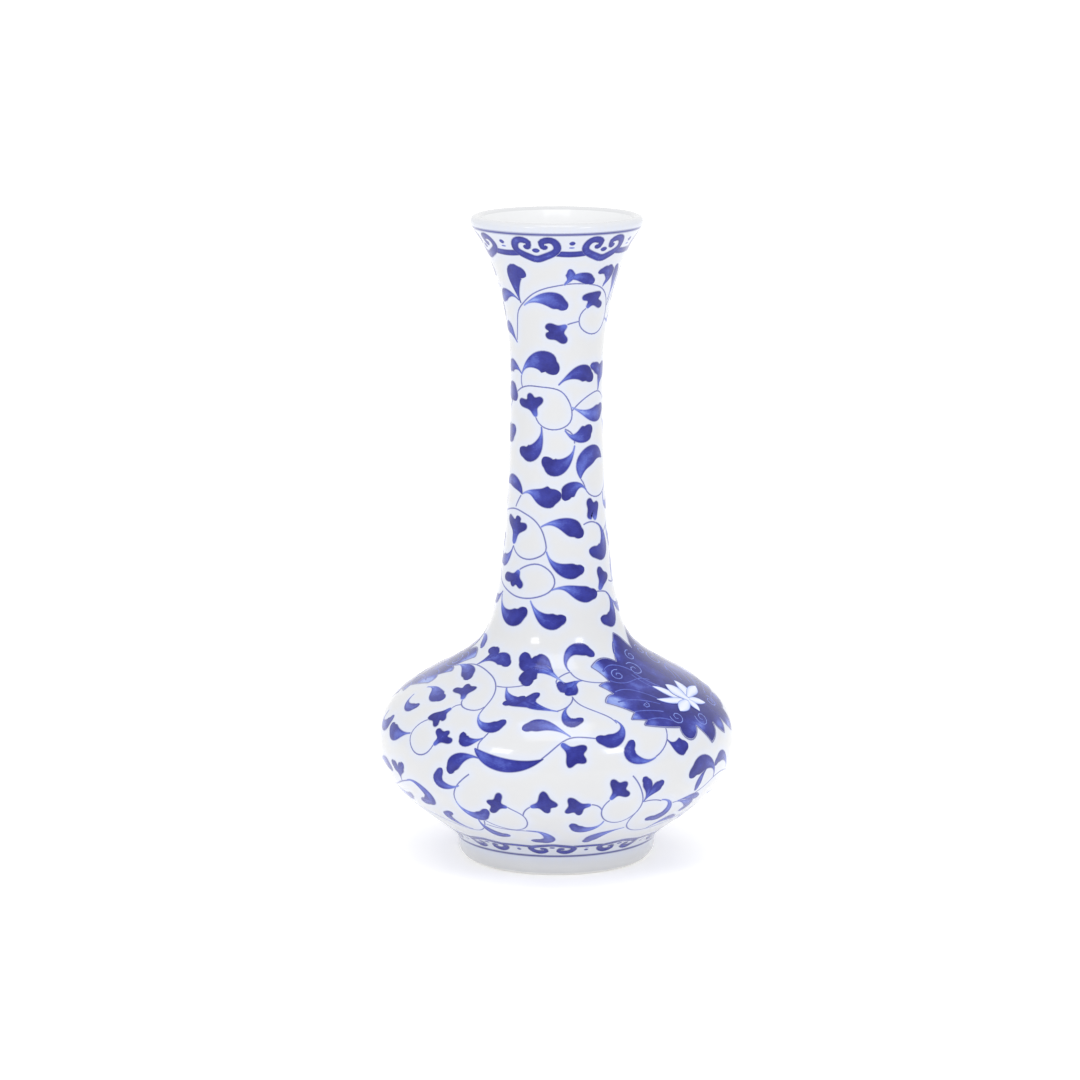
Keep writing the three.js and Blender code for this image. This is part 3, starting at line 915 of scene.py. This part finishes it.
bowl_scroll = [
    leaf(1.9, 0.45, 0.8, (-32, 39.4), (-36, 38.4), (-39.6, 39.2), (-39.6, 43.6)),
    vine((-28, 43.2), (-31, 41), (-33.5, 38.5), (-35, 34.5), (-34.6, 33)),
    leaf(2.1, 0.35, 0.78, (-34.9, 34), (-33.4, 30.6), (-29.4, 28.4), (-23, 30.8)),
    vine((-29.5, 29), (-27, 27), (-24, 24.9), (-20, 23.3), (-15, 22.8), (-12, 24), (-10.3, 27),
         (-11.3, 30.5), (-15, 33), (-16.6, 34)),
    floret(1.4, (-16, 33.6), (-19.6, 34.2), (-23, 35.4), (-22.4, 30.8), (-18, 38.6)),
    vine((-11.3, 30.5), (-10.4, 32.6), (-8.5, 34.2)),
    floret(1.5, (-8.6, 34.2), (-4, 35.4), (-4, 39.8), (0.6, 35.2), (-2.6, 31.9)),
    leaf(1.7, 0.5, 0.7, (-29, 27.4), (-28, 21.6), (-25, 18.8), (-20, 17.8)),
    vine((-27, 26.4), (-28.8, 22.6), (-33, 19.6), (-38, 19.2), (-46, 21), (-55, 23.6), (-66, 24)),
    leaf(1.6, 0.5, 0.7, (-36, 19.6), (-42, 22), (-44, 25), (-41, 28.4)),
    vine((-27, 24.4), (-20, 22.6), (-12, 22.4), (-6, 21.6)),
    leaf(2.0, 0.4, 0.72, (-12, 22.5), (-5, 21), (-3, 17.4), (-10, 14.8)),
    floret(1.5, (17.3, 36.2), (19.8, 39.4), (17.2, 42.6), (22.6, 41.6), (23.8, 37.2)),
    vine((17.3, 36.2), (15.2, 33), (16, 29.5), (19, 27), (23, 26.3), (26.5, 28), (29, 32),
         (29.2, 34.5), (28, 38), (26, 41.3), (24.3, 43.2)),
    leaf(1.6, 0.5, 0.85, (29.4, 34.2), (30.4, 38), (29.2, 42.6)),
    leaf(1.7, 0.5, 0.85, (29.4, 34.2), (32, 37.6), (34.8, 41)),
    vine((29.5, 34.2), (33, 34.4), (37, 33.5)),
    leaf(1.9, 0.4, 0.75, (36.6, 33.9), (41.6, 31.6), (42.2, 27.6), (35, 25)),
    floret(1.4, (11.4, 35), (7, 34.2), (3.8, 37.6), (2.8, 32.2), (7.8, 30.9)),
    vine((11.4, 35), (13.5, 34.4), (15.2, 32.6)),
    leaf(1.9, 0.35, 0.75, (17, 27.8), (15, 24.6), (10.4, 23.4), (4.6, 26)),
    vine((28.8, 31), (27.2, 27), (27.4, 24), (29.5, 21.5), (33, 19.8), (40, 19), (48, 20),
         (58, 22.4), (68, 25.4), (76, 26.6)),
    leaf(2.0, 0.4, 0.72, (27.4, 22.6), (21, 20.8), (16.6, 18.4), (11.4, 15.2)),
    leaf(2.8, 0.5, 0.95, (62, 36.6), (60, 40.4), (55, 42.6), (46.6, 41.4)),
    leaf(1.4, 0.8, 0.6, (57, 41.4), (54, 39.4), (51.8, 34.4)),
    leaf(1.7, 0.4, 0.85, (73, 37.6), (70, 40.4), (66, 42.6), (60.4, 41.8)),
    vine((84, 33.6), (76, 36), (68, 37.4), (62, 36.6), (58, 34.8), (50, 32.4), (43, 31.6)),
    leaf(1.9, 0.5, 0.72, (45, 31.8), (50, 30.6), (54, 28.4), (53, 25.6)),
    leaf(1.4, 0.5, 0.7, (45, 31.8), (51, 32.2), (58, 31.6)),
    leaf(1.5, 0.4, 0.7, (66, 30), (72, 29), (78, 27.6), (85, 26.6)),
    leaf(1.5, 0.4, 0.7, (40, 19.2), (43, 21.4), (47, 23.2), (53, 23.4)),
    leaf(1.7, 0.4, 0.72, (58, 22.4), (63, 19.6), (70, 18.4), (78, 19.6)),
    vine((76, 36), (82, 38.6), (90, 40.4), (96, 40.6)),
    leaf(1.9, 0.5, 0.8, (82, 38.6), (86, 42), (92, 43.8)),
    leaf(1.7, 0.6, 0.8, (-61.2, 35.4), (-60.4, 38.4), (-58, 42.2)),
    leaf(1.7, 0.6, 0.8, (-61.2, 35.4), (-61.6, 38.8), (-64.6, 41.6)),
    vine((-76, 31.6), (-70, 32.6), (-62, 35.2), (-56, 36.8)),
    leaf(2.1, 0.45, 0.75, (-57.4, 36.5), (-51.2, 36.6), (-47.4, 33.2), (-53, 28.8)),
    leaf(1.7, 0.35, 0.75, (-80, 38), (-76, 39.4), (-71, 39.4), (-66.4, 39)),
    leaf(1.5, 0.4, 0.65, (-76, 31.6), (-70, 30.4), (-64, 29.4), (-59, 30.4)),
    leaf(1.7, 0.4, 0.7, (-66, 24), (-72, 26.4), (-77, 28.2), (-83, 27.4)),
]

scrolls = {"flare": flare_scroll, "neck": neck_scroll,
           "shoulder": shoulder_scroll, "bowl": bowl_scroll}
for place, scroll in scrolls.items():
    paint(f"cobalt_{place}_scroll", scroll, HALF_TURNS)


# ---- The lotus

LOTUS = (60.5, 67)  # its middle, in degrees and mm
AXIS, AXIS_LEVEL = 62, 62  # the leaning line that its two sides mirror: its azimuth at a level
LEAN = 0.33  # degrees that the line leans per mm up
LOTUS_DEPTH, PALEST = 1.0, 0.3  # depth of its wash, and the least
LOTUS_RAYS = 30  # steps from its middle to its outline

# The outline from the top round by the left to the lowest petal: smooth runs that meet at the
# petals' tips and at the notches between them.
LEFT_RUNS = (
    ((69.6, 85), (62.6, 89.2), (55, 91)),
    ((55, 91), (48.8, 87), (43, 82.4)),
    ((43, 82.4), (34.4, 84.2), (22.6, 81.6)),
    ((22.6, 81.6), (26.6, 79.2), (29, 75.4)),
    ((29, 75.4), (25.6, 75.2), (22.2, 74.1)),
    ((22.2, 74.1), (24.8, 72.6), (27.2, 70.4)),
    ((27.2, 70.4), (23.4, 69.4), (21.4, 67)),
    ((21.4, 67), (25.8, 65.2), (31.2, 62)),
    ((31.2, 62), (29.8, 61), (28.4, 59.7)),
    ((28.4, 59.7), (31.6, 59.3), (34.4, 58.7)),
    ((34.4, 58.7), (33.2, 58), (32.4, 57.2)),
    ((32.4, 57.2), (39, 55.7), (46.4, 54.4)),
    ((46.4, 54.4), (46.2, 52), (48.8, 50.2), (52.4, 51.2), (54.4, 53.6)),
    ((54.4, 53.6), (56.4, 51.2), (59.3, 47.5)),
)
RIGHT_FOOT_RUNS = (
    ((59.3, 47.5), (63.4, 49.6), (65, 52.6)),
    ((65, 52.6), (67, 50.2), (70.2, 48.3)),
    ((70.2, 48.3), (71.6, 50.4), (72, 52.6)),
    ((72, 52.6), (74.8, 49.6), (78.4, 47.4)),
    ((78.4, 47.4), (80.8, 50.4), (81, 54)),
    ((81, 54), (84.8, 54.6), (88.43, 57.2)),
)
MIRRORED_RUNS = 11  # runs from the top that the right side repeats


def across_lotus(azimuth, level):
    return 2 * (AXIS + LEAN * (level - AXIS_LEVEL)) - azimuth


def mirrored(points):
    return tuple((across_lotus(azimuth, level), level) for azimuth, level in reversed(points))


RIGHT_RUNS = tuple(mirrored(run) for run in reversed(LEFT_RUNS[:MIRRORED_RUNS]))
LOTUS_RUNS = LEFT_RUNS + RIGHT_FOOT_RUNS + RIGHT_RUNS

# Paler places of its wash: azimuth, level, radius in mm and how much paler; then those that the
# right side repeats.
MIDDLE_WASHES = (
    (50, 71.8, 2.4, 0.3), (52.2, 53.4, 2.2, 0.45), (57.7, 53.2, 2.2, 0.5), (69.2, 51.2, 2.0, 0.6),
    (49.8, 63.2, 2.2, 0.3), (61, 79, 3.0, 0.3), (64, 74, 3.0, 0.3), (77, 49.5, 2.2, 0.6),
)
SIDE_WASHES = (
    (51.6, 88.6, 2.4, 0.5), (47, 84.8, 2.4, 0.55), (26, 81.4, 3.4, 0.75), (28.6, 78.4, 2.2, 0.45),
    (25.2, 73.6, 2.2, 0.7), (24.4, 67.6, 2.8, 0.75), (28.8, 66, 2.8, 0.5), (30.6, 60.4, 2.0, 0.65),
    (36, 57.4, 1.8, 0.5), (42.4, 57, 1.6, 0.35), (42.2, 72, 3.2, 0.45), (36.2, 67.6, 2.2, 0.3),
)

# Pale lines that part the inner petals, for the left side.
PETAL_LINES = (
    ((29, 79.4), (36, 81.4), (43, 80.6), (49, 78)),
    ((30, 75.8), (33, 74.6), (40, 74), (48, 74.6), (54, 73)),
    ((28.6, 71), (35, 71.4), (42, 69), (47, 65.6)),
    ((27, 66.8), (34, 67), (41, 65.4), (45.6, 63.4)),
    ((31.6, 62.4), (38, 62), (44, 60.6)),
    ((35, 58.8), (41, 58.6), (45, 57)),
    ((45.2, 83.4), (48.6, 87.2), (53.4, 89.4)),
    ((46, 76.6), (49.4, 71.4), (52.4, 68)),
    ((48.6, 77), (52, 72.6), (55.4, 69.6)),
)
# Curls: azimuth, level, radius in mm, hand and start angle; then those that are repeated.
MIDDLE_CURLS = ((48.2, 57.8, 2.5, 1, 160), (60, 55.2, 2.7, 1, 150), (75.8, 58, 2.4, -1, 60))
SIDE_CURLS = ((59.5, 83, 2.1, 1, 60), (52, 78.2, 2.9, -1, 120),
              (37, 77.4, 2.3, 1, 60), (38.6, 64.2, 1.3, -1, 60))
CURL_TURNS, CURL_STEPS = 1.35, 12
CURL_INSIDE = 0.8  # share of its radius that a curl winds in by
LINE_BED = 0.03  # mm that the pale lines lie above the bloom
LINE_GROUND = 0.95


def lotus_curl(azimuth, level, radius, hand, start):
    """A pale line that winds into a cloud curl."""
    spots = []
    for i in range(CURL_STEPS + 1):
        share = i / CURL_STEPS
        a = math.radians(start) + hand * CURL_TURNS * 2 * math.pi * share
        r = radius * (1 - CURL_INSIDE * share)
        spots.append((azimuth + r * math.cos(a) / degree_at(level), level + r * math.sin(a)))
    return vine(*spots, width=0.15, tone=0.24, bed=LINE_BED, ground=LINE_GROUND)


def lotus_lines():
    """The line round the bloom, and the pale petal lines and curls on it."""
    motifs = [vine(*run, width=0.2, tone=0.86, bed=0.025) for run in LOTUS_RUNS]
    for line in PETAL_LINES:
        for drawn in (line, mirrored(line)):
            motifs.append(vine(*drawn, width=0.18, tone=0.4, bed=LINE_BED, ground=LINE_GROUND))
    for azimuth, level, radius, hand, start in SIDE_CURLS:
        motifs.append(lotus_curl(azimuth, level, radius, hand, start))
        other_side = across_lotus(azimuth, level)
        motifs.append(lotus_curl(other_side, level, radius, -hand, 180 - start))
    return motifs + [lotus_curl(*curl) for curl in MIDDLE_CURLS]


# The small white lotus: each petal's half-width, where it is fullest and its middle line.
HEART_PETALS = (
    (1.7, 0.55, (62.4, 61.8), (66.5, 64.5), (68.8, 66.8), (69.6, 69.4)),
    (1.3, 0.55, (62.4, 61.8), (57, 65), (54.6, 67.6), (51, 70.4)),
    (1.4, 0.6, (61.8, 62), (68.5, 63.4), (73.2, 63.7), (79, 64)),
    (1.15, 0.5, (63, 62), (57.2, 62.8), (51.2, 63.8), (46, 65.4)),
    (1.3, 0.5, (61.8, 62.6), (65, 61), (67.4, 60), (70.4, 58.6)),
    (1.6, 0.6, (63, 62.4), (59.3, 61.3), (56.2, 60.6), (51.8, 59.3)),
    (1.3, 0.5, (62.2, 62.6), (61.9, 60.5), (62, 59.3), (61.8, 57.2)),
    (2.2, 0.55, (62.4, 61.6), (61.2, 64.5), (60.8, 67), (59.6, 69.4)),
)
PETAL_FULLNESS = 1.18
PETAL_TONES, PETAL_GROUND = (0.07, 0.02), 0.8
PETAL_BED, PETAL_RISE = 0.055, 0.012  # mm that they lie above the bloom, and each above the last


def lotus_heart():
    motifs = []
    for i, (width, fullest, *points) in enumerate(HEART_PETALS):
        halves = petal_shape(PETAL_FULLNESS * width, fullest)
        bed = PETAL_BED + PETAL_RISE * i
        motifs.append(Stroke(points, halves, PETAL_TONES, bed, ground=PETAL_GROUND))
    return motifs


def lotus_bloom():
    """The dark bloom: a patch that spreads from the lotus's middle to its outline."""
    rim = []
    for run in LOTUS_RUNS:
        count = 2 + round(length(np.array(run) * (0.8, 1)))  # about one point to a mm
        rim.append(spline(run, np.linspace(0, 1, count, endpoint=False)))
    rim = np.vstack(rim)
    scale = np.array([degree_at(LOTUS[1]), 1])
    reach = np.linalg.norm((rim - LOTUS) * scale, axis=1)
    core = 1 - (SOFT_EDGE + BLEED) / reach[:, None]
    shares = np.linspace(0, 1, LOTUS_RAYS + 1)[1:-1]
    shares = np.hstack([shares * core, core, np.ones_like(core)])
    places = LOTUS + (rim - LOTUS)[:, None] * shares[..., None]
    tone = np.full(shares.shape, LOTUS_DEPTH)
    repeated = [(across_lotus(*wash[:2]), *wash[1:]) for wash in SIDE_WASHES]
    for azimuth, level, radius, paler in (*MIDDLE_WASHES, *SIDE_WASHES, *repeated):
        gap = np.linalg.norm((places - (azimuth, level)) * scale, axis=-1)
        tone -= paler * np.exp(-(gap / radius) ** 2)
    return [Patch(places, LOTUS, np.maximum(tone, PALEST), 0.0)]


paint("cobalt_lotus_bloom", lotus_bloom(), HALF_TURNS)
paint("cobalt_lotus_lines", lotus_lines(), HALF_TURNS)
paint("cobalt_lotus_heart", lotus_heart(), HALF_TURNS)


# ---- The blue cast of the glaze near the cobalt

HALO_REACH = 1.5 * MM


def tint_glaze():
    places = np.vstack(painted_points)[::2]
    tree = KDTree(len(places))
    for i, place in enumerate(places):
        tree.insert(place, i)
    tree.balance()
    mesh = coat.data
    halo = [math.exp(-(tree.find(v.co)[2] / HALO_REACH) ** 2) for v in mesh.vertices]
    layer = mesh.attributes.new("halo", "FLOAT", "POINT")
    layer.data.foreach_set("value", np.array(halo, np.float32))


tint_glaze()


# ---- Floor, light and camera

lowest, highest = (Vector(corner) for corner in cad_box)
vase_middle = Vector((0, 0, (lowest.z + highest.z) / 2))

FLOOR_RADIUS, FLOOR_SIDES = 9.0, 64
FLOOR_WHITE = (0.97, 0.965, 0.955, 1)
FLOOR_GLOW = 0.2
SKY_STRENGTH = 1.0


def pale_floor():
    look = Look("pale_floor")
    look.shader.inputs["Roughness"].default_value = 0.85
    look.shader.inputs["Specular IOR Level"].default_value = 0.1
    look.shader.inputs["Base Color"].default_value = FLOOR_WHITE
    look.shader.inputs["Emission Color"].default_value = (1, 1, 1, 1)
    look.shader.inputs["Emission Strength"].default_value = FLOOR_GLOW
    turns = np.linspace(0, 2 * math.pi, FLOOR_SIDES, endpoint=False)
    corners = [(FLOOR_RADIUS * math.cos(a), FLOOR_RADIUS * math.sin(a), lowest.z) for a in turns]
    mesh = bpy.data.meshes.new("floor")
    mesh.from_pydata(corners, [], [range(FLOOR_SIDES)])
    mesh.materials.append(look.material)
    floor = bpy.data.objects.new("floor", mesh)
    scene.collection.objects.link(floor)


def white_surroundings():
    world = bpy.data.worlds.new("white_studio")
    world.use_nodes = True
    background = world.node_tree.nodes["Background"]
    background.inputs["Color"].default_value = (1, 1, 1, 1)
    background.inputs["Strength"].default_value = SKY_STRENGTH
    scene.world = world


def softbox(name, azimuth, elevation, distance, width, depth, power):
    """A rectangular light that faces the vase's middle."""
    lamp = bpy.data.lights.new(name, "AREA")
    lamp.shape = "RECTANGLE"
    lamp.size, lamp.size_y = width, depth
    lamp.energy = power
    a, e = math.radians(azimuth), math.radians(elevation)
    way = Vector((math.sin(a) * math.cos(e), -math.cos(a) * math.cos(e), math.sin(e)))
    box = bpy.data.objects.new(name, lamp)
    box.location = vase_middle + way * distance
    box.rotation_euler = way.to_track_quat("Z", "Y").to_euler()
    scene.collection.objects.link(box)


CAMERA_DISTANCE = 1.106
CAMERA_HEIGHT = 0.306
CAMERA_PITCH = math.radians(10.96)
CAMERA_TURN = math.radians(0.244)
CAMERA_LENS = 131.4


def camera():
    lens = bpy.data.cameras.new("camera")
    lens.lens = CAMERA_LENS
    lens.sensor_width = 36
    view = bpy.data.objects.new("camera", lens)
    view.location = (0, -CAMERA_DISTANCE, CAMERA_HEIGHT)
    view.rotation_euler = (math.pi / 2 - CAMERA_PITCH, 0, CAMERA_TURN)
    scene.collection.objects.link(view)
    scene.camera = view


pale_floor()
white_surroundings()
softbox("top_softbox", 0, 78, 1.3, 0.7, 0.7, 3.4)
softbox("left_softbox", -39, 34, 1.4, 0.3, 0.25, 1.9)
softbox("right_softbox", 42, 34, 1.4, 0.3, 0.25, 1.9)
camera()
scene.view_settings.view_transform = "Standard"
